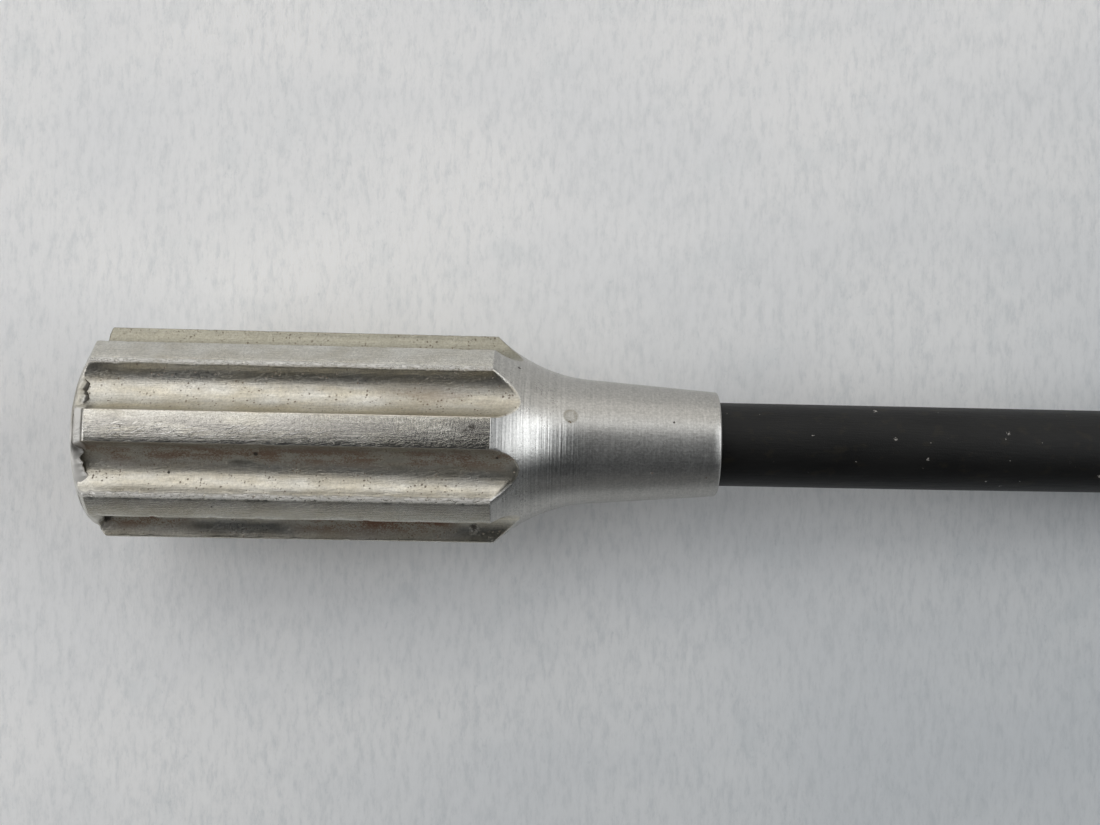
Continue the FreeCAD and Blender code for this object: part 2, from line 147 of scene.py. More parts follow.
def ring_piece(name, rings):
    """A closed skin over rings of points in millimetres: each ring joins the next, and the last
    joins the first."""
    rows, columns = rings.shape[:2]
    vertices = (rings.reshape(-1, 3) * MM).tolist()
    here = np.arange(rows * columns).reshape(rows, columns)
    down = np.roll(here, -1, axis=0)
    corners = (here, np.roll(here, -1, axis=1), np.roll(down, -1, axis=1), down)
    faces = np.stack(corners, axis=-1).reshape(-1, 4).tolist()
    return new_mesh(name, vertices, faces)


def rounded(outline, edge):
    """The outline with each of its corners replaced by a short curve."""
    outline = [np.array(point, float) for point in outline]
    curved = []
    for i, corner in enumerate(outline):
        before, after = outline[i - 1], outline[(i + 1) % len(outline)]
        ways = []
        for other in (before, after):
            way = other - corner
            length = np.linalg.norm(way)
            ways.append(corner + way / length * min(edge, 0.4 * length))
        for t in (0.0, 0.25, 0.5, 0.75, 1.0):
            curved.append((1 - t) ** 2 * ways[0] + 2 * t * (1 - t) * corner + t**2 * ways[1])
    return np.array(curved)


def on_axis(stations, across, up, axis, front=None):
    """Points in millimetres about an axis. front is the station that a grip piece counts from."""
    x = stations if front is None else front - stations
    return np.stack([x, axis[0] + across, axis[1] + up], axis=-1)


def section_ring(points, station, axis, front=None):
    """A cross-section's (across, up) points as a ring at one station of an axis."""
    return on_axis(np.full(len(points), station), points[:, 0], points[:, 1], axis, front)


def bore_rings(outline, outside, axis, front=None):
    """Round rings along a bore's outline of (station, radius) points. Each ring's points are in
    line with those of the ring outside it."""
    angles = np.arctan2(outside[:, 1] - axis[0], outside[:, 2] - axis[1])
    circle = np.stack([np.sin(angles), np.cos(angles)], axis=-1)
    return np.array(
        [section_ring(radius * circle, station, axis, front) for station, radius in outline]
    )


def turned_piece(name, outline, axis, front=None, edge=0.12, columns=96, ripple=None):
    """A turned piece: an outline of (station, radius) points spun about the axis. ripple is
    (count, depth, least radius) for a rim of fine straight grooves."""
    profile = rounded(outline, edge)
    profile[:, 1] = np.maximum(profile[:, 1], 0.0)
    angles = np.linspace(0, 2 * math.pi, columns, endpoint=False)
    radii = profile[:, 1][:, None] * np.ones(columns)
    if ripple:
        count, depth, least = ripple
        on_rim = np.clip((radii - least) / depth, 0, 1)
        radii = radii - depth * on_rim * (0.5 + 0.5 * np.cos(count * angles))
    stations = profile[:, 0][:, None] * np.ones(columns)
    rings = on_axis(stations, radii * np.sin(angles), radii * np.cos(angles), axis, front)
    return ring_piece(name, rings)


def fluted_section(radius, centre, cutter, count, clock, wear):
    """One cross-section of a fluted bar, as (across, up) points. wear holds two edge-rounding
    distances for each flute."""
    reach = (centre**2 + cutter**2 - radius**2) / (2 * centre * cutter)
    edge_turn = math.acos(min(max(reach, -1.0), 1.0))
    edge_angle = math.atan2(cutter * math.sin(edge_turn), centre - cutter * math.cos(edge_turn))
    least = math.radians(1.2)
    half_pitch = math.pi / count
    points = []
    for flute in range(count):
        middle = math.radians(clock) + 2 * half_pitch * flute
        backs = [min(w, 0.45 * cutter * edge_turn) for w in wear[flute]]
        steps = np.linspace(-1, 1, 21)
        if edge_angle > least:
            turns = np.where(
                steps < 0,
                steps * (edge_turn - backs[0] / cutter),
                steps * (edge_turn - backs[1] / cutter),
            )
            hollow = [
                (centre - cutter * math.cos(turn), cutter * math.sin(turn)) for turn in turns
            ]
            half = edge_angle
        else:
            half = least
            hollow = []
            for angle in steps * half:
                inside = cutter**2 - (centre * math.sin(angle)) ** 2
                groove = centre * math.cos(angle) - math.sqrt(max(inside, 0.0))
                depth = min(radius, groove)
                hollow.append((depth * math.cos(angle), depth * math.sin(angle)))
        next_back = min(wear[(flute + 1) % count][0], 0.45 * cutter * edge_turn)
        land = np.linspace(
            half + backs[1] / radius, 2 * half_pitch - half - next_back / radius, 9
        )
        outer = [(radius * math.cos(a), radius * math.sin(a)) for a in land]
        corner = (radius * math.cos(half), radius * math.sin(half))
        far = 2 * half_pitch - half
        far_corner = (radius * math.cos(far), radius * math.sin(far))
        if half > least:
            far_turn = next_back / cutter - edge_turn
            far_start = (centre - cutter * math.cos(far_turn), cutter * math.sin(far_turn))
        else:
            far_start = (radius * math.cos(-half), radius * math.sin(-half))
        far_start = turned(far_start, 2 * half_pitch)
        run = (
            hollow
            + bend(hollow[-1], corner, outer[0])
            + outer
            + bend(outer[-1], far_corner, far_start)
        )
        for out, along in run:
            points.append(
                (
                    -out * math.sin(middle) - along * math.cos(middle),
                    out * math.cos(middle) - along * math.sin(middle),
                )
            )
    return points


def turned(point, angle):
    """A point turned about the centre, by an angle in radians."""
    out, along = point
    return (
        out * math.cos(angle) - along * math.sin(angle),
        out * math.sin(angle) + along * math.cos(angle),
    )


def bend(start, corner, end):
    """Three points on the curve that rounds a corner."""
    found = []
    for t in (0.25, 0.5, 0.75):
        weights = ((1 - t) ** 2, 2 * t * (1 - t), t**2)
        found.append(
            tuple(sum(w * p[k] for w, p in zip(weights, (start, corner, end))) for k in (0, 1))
        )
    return found


def edge_wear(station, count, least, most, seed):
    """How far each flute's two edges are worn at one station: mostly little, with some nicks."""
    wear = []
    for flute in range(count):
        pair = []
        for side in (0, 1):
            slow = noise.noise(Vector((station * 0.35, flute * 7.3 + side * 3.1, seed)))
            fast = noise.noise(Vector((station * 1.9, flute * 5.7 + side * 2.3, seed + 9.0)))
            nick = max(0.0, fast - 0.2) * 3.5
            pair.append(least + (most - least) * min(1.0, max(0.0, 0.25 + 0.5 * slow + nick)))
        wear.append(pair)
    return wear


# ---------------------------------------------------------------- coupling
def sleeve_radius(station):
    if station <= SHOULDER_START:
        share = (station - SLEEVE_FRONT) / (SHOULDER_START - SLEEVE_FRONT)
        return LAND_FRONT_RADIUS + share * (LAND_REAR_RADIUS - LAND_FRONT_RADIUS)
    if station <= NECK_START:
        start = np.array([SHOULDER_START, LAND_REAR_RADIUS])
        end = np.array([NECK_START, NECK_FRONT_RADIUS])
        chord = end - start
        length = np.linalg.norm(chord)
        side = np.array([-chord[1], chord[0]]) / length
        centre = (start + end) / 2 + side * math.sqrt(SHOULDER_RADIUS**2 - (length / 2) ** 2)
        return centre[1] - math.sqrt(SHOULDER_RADIUS**2 - (station - centre[0]) ** 2)
    share = (station - NECK_START) / (NECK_END - NECK_START)
    return NECK_FRONT_RADIUS + share * (NECK_REAR_RADIUS - NECK_FRONT_RADIUS)


def soft_least(first, second, blend):
    """The lesser of two numbers, with the corner between them rounded."""
    share = np.clip(0.5 + 0.5 * (second - first) / blend, 0.0, 1.0)
    return second + (first - second) * share - blend * share * (1.0 - share)


def worn_edges(station):
    """The flutes' edges at one station. The ones that face the eye from the rubbed lands are the
    most worn."""
    wear = edge_wear(station, FLUTE_COUNT, 0.04, 0.2, 1.0)
    for flute, side, more in ((7, 0, 0.18), (0, 1, 0.2), (7, 1, -0.12)):
        wear[flute][side] = max(0.03, wear[flute][side] + more)
    return wear


def rim_slope(points):
    """How steep the end's chamfer is round the mouth: longest on top, shortest at the back."""
    clock = np.degrees(np.arctan2(-points[:, 0], points[:, 1]))
    on_top = np.exp(-((clock / 30.0) ** 2))
    at_back = np.exp(-(((clock + 90.0) / 30.0) ** 2))
    return RIM_SLOPE - 0.38 * on_top + 1.3 * at_back


def make_sleeve():
    rear_break = 0.12
    stations = np.concatenate(
        [
            np.arange(SLEEVE_FRONT, 1.5, 0.05),
            np.arange(1.5, SHOULDER_START - 0.15, 0.12),
            SHOULDER_START + np.array([-0.1, -0.05, -0.02, 0.02, 0.05, 0.1]),
            np.arange(SHOULDER_START + 0.16, NECK_START, 0.08),
            np.arange(NECK_START, NECK_END - 0.3, 0.3),
            NECK_END - rear_break * np.array([1.0, 0.5, 0.15, 0.0]),
        ]
    )
    rings = []
    for station in stations:
        radius = sleeve_radius(station)
        radius -= max(0.0, station - NECK_END + rear_break) ** 2 / rear_break
        wear = worn_edges(station)
        points = np.array(
            fluted_section(radius, FLUTE_CENTRE, FLUTE_CUTTER, FLUTE_COUNT, FLUTE_CLOCK, wear)
        )
        # the end's chamfer is a cone a little off the axis
        from_cone = points - (RIM_SHIFT, 0.0)
        reach = np.linalg.norm(from_cone, axis=1)
        cone = RIM_RADIUS + rim_slope(from_cone) * station
        points = from_cone * (soft_least(reach, cone, 0.12) / reach)[:, None] + (RIM_SHIFT, 0.0)
        rings.append(section_ring(points, station, COUPLING_AXIS))
    outer = np.array(rings)
    bore = [(NECK_END, 2.85), (33.0, 2.85), (33.0, 3.15), (24.0, 3.15), (24.0, 4.1)]
    bore += [(BUSH_END, 4.1), (BUSH_END, BUSH_RADIUS), (SLEEVE_FRONT, BUSH_RADIUS)]
    inner = bore_rings(bore, outer[0], COUPLING_AXIS)
    return ring_piece("sleeve_skin", np.concatenate([outer, inner]))


def make_bush():
    """The threaded bush. Its front is the rim round the mouth, and ragged tongues of it lie over
    the ends of the flutes."""
    columns = 480
    angles = np.linspace(0, 2 * math.pi, columns, endpoint=False)
    pitch = 2 * math.pi / FLUTE_COUNT
    from_flute = (angles - math.radians(FLUTE_CLOCK) + pitch / 2) % pitch - pitch / 2
    over_flute = np.clip((math.radians(14.0) - np.abs(from_flute)) / math.radians(4.0), 0, 1)

    def raggedness(fineness, seed):
        return np.array(
            [
                noise.noise(Vector((math.cos(a) * fineness, math.sin(a) * fineness, seed)))
                for a in angles
            ]
        )

    ragged = raggedness(4.0, 2.0) + 0.6 * raggedness(13.0, 5.0) + 0.3 * raggedness(31.0, 6.0)
    tongue = 0.28 + over_flute * np.clip(0.42 + 0.45 * ragged, 0.05, 0.7)
    tongue += 0.32 * np.exp(-(((np.degrees(angles) - 25.0) / 7.0) ** 2))
    ripple = 0.05 * over_flute * raggedness(9.0, 11.0)

    def ring(station, radius, shift=RIM_SHIFT):
        station = station * np.ones(columns)
        across = shift - radius * np.sin(angles)
        return on_axis(station, across, radius * np.cos(angles), COUPLING_AXIS)

    land = 1.0 - over_flute
    rows = [
        ring(SLEEVE_FRONT, BUSH_RADIUS, 0.0),
        ring(SLEEVE_FRONT, 5.36),
        ring(tongue - 0.02, 5.36 + ripple),
        ring(tongue + 0.03, 5.45 + ripple),
        ring(tongue - 0.03, 5.56 + ripple + land * 0.36),
        ring(0.5 * tongue + 0.07, 5.74 + 0.5 * ripple + land * 0.08),
        ring(0.1, RIM_RADIUS + 0.1),
        ring(0.03, RIM_RADIUS),
        ring(0.0, RIM_RADIUS - 0.07),
        ring(0.0, 5.0, 0.0),
        ring(0.04, 4.93, 0.0),
    ]
    for station in np.arange(0.45, BUSH_END - 0.4, THREAD_PITCH / 8):
        turns = station / THREAD_PITCH - angles / (2 * math.pi)
        crest = 0.5 - 0.5 * np.cos(2 * math.pi * turns)
        rows.append(ring(station, THREAD_RADIUS + 0.02 + THREAD_DEPTH * crest, 0.0))
    rows += [
        ring(BUSH_END - 0.3, THREAD_RADIUS + 0.02, 0.0),
        ring(BUSH_END, THREAD_RADIUS + 0.1, 0.0),
        ring(BUSH_END, BUSH_RADIUS, 0.0),
    ]
    return ring_piece("bush_skin", np.array(rows))


# ---------------------------------------------------------------- sheath
def make_sheath():
    curve = bpy.data.curves.new("sheath_skin", "CURVE")
    curve.dimensions = "3D"
    curve.resolution_u = 24
    curve.bevel_depth = SHEATH_RADIUS * MM
    curve.bevel_resolution = 12
    curve.use_fill_caps = True
    line = curve.splines.new("NURBS")
    line.points.add(len(ROUTE) - 1)
    for point, place in zip(line.points, ROUTE, strict=True):
        point.co = (*(v * MM for v in place), 1.0)
    line.use_endpoint_u = True
    line.order_u = 3
    piece = bpy.data.objects.new("sheath_skin", curve)
    bpy.context.scene.collection.objects.link(piece)
    return piece


# ---------------------------------------------------------------- grip
def grip_piece(name, outline, **details):
    return turned_piece(name, outline, GRIP_AXIS, front=GRIP_FRONT, **details)


def make_barrel():
    start, end, neck = 15.0, 45.0, 42.0
    flute_start, flute_end = 17.0, 39.0
    radius, centre, cutter, run_out = 5.5, 6.4, 1.3, 1.6
    neck_radius, bore_radius, break_size = 4.9, 4.2, 0.3
    count, clock = 8, 11.0
    stations = np.concatenate(
        [
            start + np.array([0.0, 0.05, 0.15, 0.3, 1.0]),
            np.arange(16.4, 39.8, 0.2),
            np.array([40.5, 41.7, 41.85, 41.95, neck]),
        ]
    )
    rings = []
    for station in stations:
        inside = min(station - flute_start, flute_end - station) + run_out / 2
        lift = 0.0 if inside > run_out else (run_out - inside) ** 2 / run_out * 0.5
        size = radius - max(0.0, start + break_size - station) ** 2 / break_size
        size -= max(0.0, station - neck + break_size) ** 2 / break_size
        wear = edge_wear(station, count, 0.04, 0.14, 4.0)
        points = np.array(fluted_section(size, centre + lift, cutter, count, clock, wear))
        rings.append(section_ring(points, station, GRIP_AXIS, GRIP_FRONT))
    outer = np.array(rings)
    rest = [(neck, neck_radius), (end, neck_radius), (end, bore_radius), (start, bore_radius)]
    inner = bore_rings(rest, outer[-1], GRIP_AXIS, GRIP_FRONT)
    return ring_piece("barrel_skin", np.concatenate([outer, inner]))


def make_lock_ring():
    start, end, radius, bore_radius = 46.6, 50.6, 6.0, 4.05
    centre, cutter, count, break_size = 6.45, 0.75, 16, 0.35
    wear = [(0.05, 0.05)] * count
    stations = start + np.array(
        [0.0, 0.05, 0.15, 0.35, 0.8, 1.4, 2.0, 2.6, 3.2, 3.65, 3.85, 3.95, 4.0]
    )
    rings = []
    for station in stations:
        near = min(station - start, end - station)
        size = radius - max(0.0, break_size - near) ** 2 / break_size
        points = np.array(fluted_section(size, centre, cutter, count, 0.0, wear))
        rings.append(section_ring(points, station, GRIP_AXIS, GRIP_FRONT))
    outer = np.array(rings)
    bore = [(end, bore_radius), (start, bore_radius)]
    inner = bore_rings(bore, outer[0], GRIP_AXIS, GRIP_FRONT)
    return ring_piece("lock_ring_skin", np.concatenate([outer, inner]))


def make_spring():
    """The plunger's return spring: a coil of round wire between its seat and the collar."""
    low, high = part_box("return_spring")
    start, end = high.x / MM - SPRING_WIRE_RADIUS, low.x / MM + SPRING_WIRE_RADIUS
    turns = (start - end) / SPRING_PITCH
    rows, columns = int(28 * turns) + 1, 10
    angles = np.linspace(0.0, 2 * math.pi * turns, rows)
    outward = np.stack([np.zeros(rows), np.cos(angles), np.sin(angles)], axis=1)
    centres = SPRING_RADIUS * outward + (0.0, *GRIP_AXIS)
    centres[:, 0] = np.linspace(start, end, rows)
    along = np.stack([np.zeros(rows), -np.sin(angles), np.cos(angles)], axis=1)
    along = along * SPRING_RADIUS - (SPRING_PITCH / (2 * math.pi), 0.0, 0.0)
    sideways = np.cross(along / np.linalg.norm(along, axis=1)[:, None], outward)
    around = np.linspace(0.0, 2 * math.pi, columns, endpoint=False)[None, :, None]
    section = np.cos(around) * outward[:, None] + np.sin(around) * sideways[:, None]
    rings = centres[:, None] + SPRING_WIRE_RADIUS * section
    here = np.arange(rows * columns).reshape(rows, columns)
    beside = np.roll(here, -1, axis=1)
    faces = np.stack((here[:-1], beside[:-1], beside[1:], here[1:]), axis=-1).reshape(-1, 4)
    faces = faces.tolist() + [here[0].tolist(), here[-1].tolist()]
    return new_mesh("spring_skin", (rings.reshape(-1, 3) * MM).tolist(), faces)


GRIP_OUTLINES = {
    "grip_ferrule": [
        (0.0, 2.62), (10.0, 2.62), (10.0, 1.25), (21.0, 1.25), (21.0, 4.2), (15.0, 4.2),
        (15.0, 5.2), (13.6, 5.2), (12.9, 4.3), (12.0, 4.0), (0.0, 3.2),
    ],
    "finger_flange": [(42.0, 4.9), (45.0, 4.9), (45.0, 8.0), (42.0, 8.0)],
    "end_cap": [
        (41.0, 1.75), (52.5, 1.75), (52.5, 4.0), (51.35, 4.0), (51.35, 3.6), (50.75, 3.6),
        (50.75, 4.0), (46.5, 4.0), (46.5, 5.5), (45.0, 5.5), (45.0, 4.2), (41.0, 4.2),
    ],
    "thumb_button": [
        (60.5, 1.7), (63.5, 1.7), (63.5, 0.0), (65.6, 0.0), (65.75, 1.8), (66.1, 3.6),
        (66.5, 4.9), (66.5, 5.5), (62.0, 5.5), (62.0, 3.0), (60.5, 3.0),
    ],
}


# ---------------------------------------------------------------- materials
class Nodes:
    """Short names for the shader nodes that the materials use."""

    def __init__(self, name):
        self.material = bpy.data.materials.new(name)
        self.material.use_nodes = True
        self.tree = self.material.node_tree
        self.shader = self.tree.nodes["Principled BSDF"]
        place = self.tree.nodes.new("ShaderNodeTexCoord").outputs["Object"]
        self.place = self.vector("MULTIPLY", place, (1 / MM,) * 3)
        parts = self.tree.nodes.new("ShaderNodeSeparateXYZ")
        self.link(self.place, parts.inputs[0])
        self.x, self.y, self.z = parts.outputs

    def link(self, source, target):
        if isinstance(source, bpy.types.NodeSocket):
            self.tree.links.new(source, target)
        else:
            target.default_value = source

    def vector(self, operation, first, second):
        node = self.tree.nodes.new("ShaderNodeVectorMath")
        node.operation = operation
        self.link(first, node.inputs[0])
        self.link(second, node.inputs[1])
        return node.outputs[0]

    def math(self, operation, first, second=0.0):
        node = self.tree.nodes.new("ShaderNodeMath")
        node.operation = operation
        self.link(first, node.inputs[0])
        self.link(second, node.inputs[1])
        return node.outputs[0]

    def noise(self, stretch, detail=3.0, seed=0.0, rough=0.5):
        """Noise whose grain is 1 / stretch millimetres along X, Y and Z."""
        node = self.tree.nodes.new("ShaderNodeTexNoise")
        grain = self.vector("MULTIPLY", self.place, stretch)
        moved = self.vector("ADD", grain, (seed, seed * 1.7, seed * 2.3))
        self.link(moved, node.inputs["Vector"])
        node.inputs["Scale"].default_value = 1.0
        node.inputs["Detail"].default_value = detail
        node.inputs["Roughness"].default_value = rough
        return node.outputs["Fac"]

    def specks(self, grain, size, rarity, seed=0.0):
        """Round spots, 1 inside and 0 outside. grain is cells a millimetre, and size is the largest
        spot's radius in cells; the higher the rarity, the fewer spots come near that size."""
        node = self.tree.nodes.new("ShaderNodeTexVoronoi")
        moved = self.vector("ADD", self.vector("MULTIPLY", self.place, (grain,) * 3), (seed,) * 3)
        self.link(moved, node.inputs["Vector"])
        node.inputs["Scale"].default_value = 1.0
        chance = self.tree.nodes.new("ShaderNodeSeparateColor")
        self.link(node.outputs["Color"], chance.inputs[0])
        reach = self.math("MULTIPLY", self.math("POWER", chance.outputs[0], rarity), size)
        ragged = self.math("MULTIPLY", self.noise((11.0, 14.0, 14.0), 3.0, seed=seed), 0.5)
        edge = self.math("ADD", node.outputs["Distance"], self.math("SUBTRACT", ragged, 0.25))
        return self.band(self.math("SUBTRACT", edge, reach), 0.0, -0.05)

    def strokes(self, across, turn, grain, least, most, seed=0.0):
        """Short straight marks on a skin that runs along X and, in millimetres, across."""
        turn = math.radians(turn)
        cos, sin = math.cos(turn), math.sin(turn)
        along = self.math("MULTIPLY", self.x, cos)
        along = self.math("ADD", along, self.math("MULTIPLY", across, sin))
        aside = self.math("MULTIPLY", across, cos)
        aside = self.math("SUBTRACT", aside, self.math("MULTIPLY", self.x, sin))
        place = self.tree.nodes.new("ShaderNodeCombineXYZ")
        self.link(self.math("MULTIPLY", along, grain[0]), place.inputs[0])
        self.link(self.math("MULTIPLY", aside, grain[1]), place.inputs[1])
        place.inputs[2].default_value = seed
        node = self.tree.nodes.new("ShaderNodeTexNoise")
        self.link(place.outputs[0], node.inputs["Vector"])
        node.inputs["Scale"].default_value = 1.0
        node.inputs["Detail"].default_value = 1.0
        return self.band(node.outputs["Fac"], least, most)

    def both(self, *masks):
        found = masks[0]
        for mask in masks[1:]:
            found = self.math("MULTIPLY", found, mask)
        return found

    def band(self, value, low, high):
        """0 below low, 1 above high, smooth between. high under low turns it round."""
        node = self.tree.nodes.new("ShaderNodeMapRange")
        node.interpolation_type = "SMOOTHSTEP"
        self.link(value, node.inputs["Value"])
        turned = low > high
        node.inputs["From Min"].default_value = min(low, high)
        node.inputs["From Max"].default_value = max(low, high)
        node.inputs["To Min"].default_value = 1.0 if turned else 0.0
        node.inputs["To Max"].default_value = 0.0 if turned else 1.0
        return node.outputs["Result"]

    def mix(self, share, first, second):
        node = self.tree.nodes.new("ShaderNodeMix")
        node.data_type = "RGBA"
        self.link(share, node.inputs["Factor"])
        self.link(first, node.inputs["A"])
        self.link(second, node.inputs["B"])
        return node.outputs["Result"]

    def mix_value(self, share, first, second):
        """Two numbers mixed."""
        return self.math(
            "ADD",
            self.math("MULTIPLY", first, self.math("SUBTRACT", 1.0, share)),
            self.math("MULTIPLY", second, share),
        )

    def shaded(self, color, shade):
        """The colour times a number."""
        return self.vector("MULTIPLY", color, self.grey(shade))

    def grey(self, value):
        node = self.tree.nodes.new("ShaderNodeCombineXYZ")
        for socket in node.inputs:
            self.link(value, socket)
        return node.outputs[0]

    def bump(self, height, distance, under=None):
        node = self.tree.nodes.new("ShaderNodeBump")
        node.inputs["Distance"].default_value = distance * MM
        self.link(height, node.inputs["Height"])
        if under:
            self.link(under, node.inputs["Normal"])
        return node.outputs["Normal"]

    def clock(self, axis=COUPLING_AXIS):
        """The angle about the axis in degrees: 0 on top, positive towards -Y."""
        across = self.math("SUBTRACT", axis[0], self.y)
        up = self.math("SUBTRACT", self.z, axis[1])
        return self.math("DEGREES", self.math("ARCTAN2", across, up))

    def radius(self, axis=COUPLING_AXIS):
        across = self.math("POWER", self.math("SUBTRACT", self.y, axis[0]), 2.0)
        up = self.math("POWER", self.math("SUBTRACT", self.z, axis[1]), 2.0)
        return self.math("SQRT", self.math("ADD", across, up))

    def near(self, value, middle, width):
        """1 at the middle, falling to 0 at width away from it."""
        away = self.math("ABSOLUTE", self.math("SUBTRACT", value, middle))
        return self.band(away, width, 0.0)

    def finish(self, color, roughness, normal=None, metallic=1.0):
        self.link(color, self.shader.inputs["Base Color"])
        self.link(roughness, self.shader.inputs["Roughness"])
        self.link(metallic, self.shader.inputs["Metallic"])
        if normal:
            self.link(normal, self.shader.inputs["Normal"])
        return self.material


CLEAN_ALUMINIUM = (0.64, 0.625, 0.575, 1.0)
WORN_ALUMINIUM = (0.54, 0.515, 0.45, 1.0)
TURNED_ALUMINIUM = (0.62, 0.615, 0.595, 1.0)
# dull metal, also used as painted shade on the land on top
DULL_METAL_AND_PAINTED_SHADE = (0.43, 0.415, 0.385, 1.0)
BEIGE_STAIN = (0.52, 0.47, 0.36, 1.0)
DULL_BEIGE = (0.33, 0.315, 0.255, 1.0)
# bright worn metal, also used as a painted highlight on the mouth's lips and on flute edges
BRIGHT_WEAR_AND_PAINTED_HIGHLIGHT = (0.78, 0.76, 0.72, 1.0)
BROWN_STAIN = (0.34, 0.32, 0.26, 1.0)
RING_BROWN = (0.24, 0.21, 0.14, 1.0)
DIRT = (0.13, 0.085, 0.05, 1.0)
RUST = (0.18, 0.095, 0.055, 1.0)
# dark grime, also used as painted shade in the cracks at the mouth
GRIME_AND_PAINTED_SHADE = (0.035, 0.028, 0.02, 1.0)
SHEATH_BLACK = (0.004, 0.004, 0.004, 1.0)
SHEATH_WORN_BLACK = (0.008, 0.008, 0.0075, 1.0)
SMUDGE = (0.03, 0.024, 0.012, 1.0)
DUST = (0.4, 0.38, 0.35, 1.0)
WHITE = (1.0, 1.0, 1.0, 1.0)
COOL_PAPER = (0.92, 0.925, 0.93, 1.0)
WARM_PAPER = (1.0, 0.995, 0.985, 1.0)
PAPER_PATCH = (0.86, 0.88, 0.885, 1.0)
PAPER_FIBRE = (0.83, 0.85, 0.86, 1.0)
PAPER_FLECK = (0.62, 0.66, 0.68, 1.0)
CORNER_SHADE = (0.66, 0.69, 0.715, 1.0)
BRASS = (0.62, 0.47, 0.22, 1.0)
DARK_BRASS = (0.42, 0.30, 0.13, 1.0)
STEEL = (0.56, 0.55, 0.53, 1.0)
DARK_STEEL = (0.38, 0.37, 0.36, 1.0)

# Stains in the sleeve's hollows: middle and width in degrees of clock, start and end in
# millimetres, how strong, and a seed.
STAINS = (
    (11.0, 13.0, 0.3, 27.0, 0.9, 31.0),
    (71.0, 8.0, 0.6, 6.0, 1.3, 37.0),
    (71.0, 8.0, 12.0, 22.5, 1.3, 41.0),
    (-30.0, 12.0, 18.0, 26.0, 0.35, 43.0),
    (-64.0, 8.0, 7.5, 13.0, 0.45, 47.0),
)

# Single marks: station and size in millimetres, clock in degrees, and how ragged.
MARKS = (
    (10.87, 10.5, 0.17, 0.1),
    (5.64, 24.1, 0.10, 0.1),
    (8.25, 39.7, 0.09, 0.1),
    (23.55, -7.4, 0.20, 1.6),
    (23.2, -6.0, 0.10, 1.2),
    (24.97, 9.8, 0.10, 0.2),
    (23.4, 72.6, 0.28, 1.0),
    (18.8, 69.0, 0.16, 0.4),
    (21.4, 68.6, 0.12, 0.4),
    (26.05, -56.4, 0.12, 0.2),
    (35.4, -22.7, 0.08, 0.1),
    # the last mark is a dark patch where the bottom flute opens at the mouth
    (0.75, 70.0, 0.5, 0.9),
)
RING_STAIN = (29.2, -23.3, 0.36, 0.15)


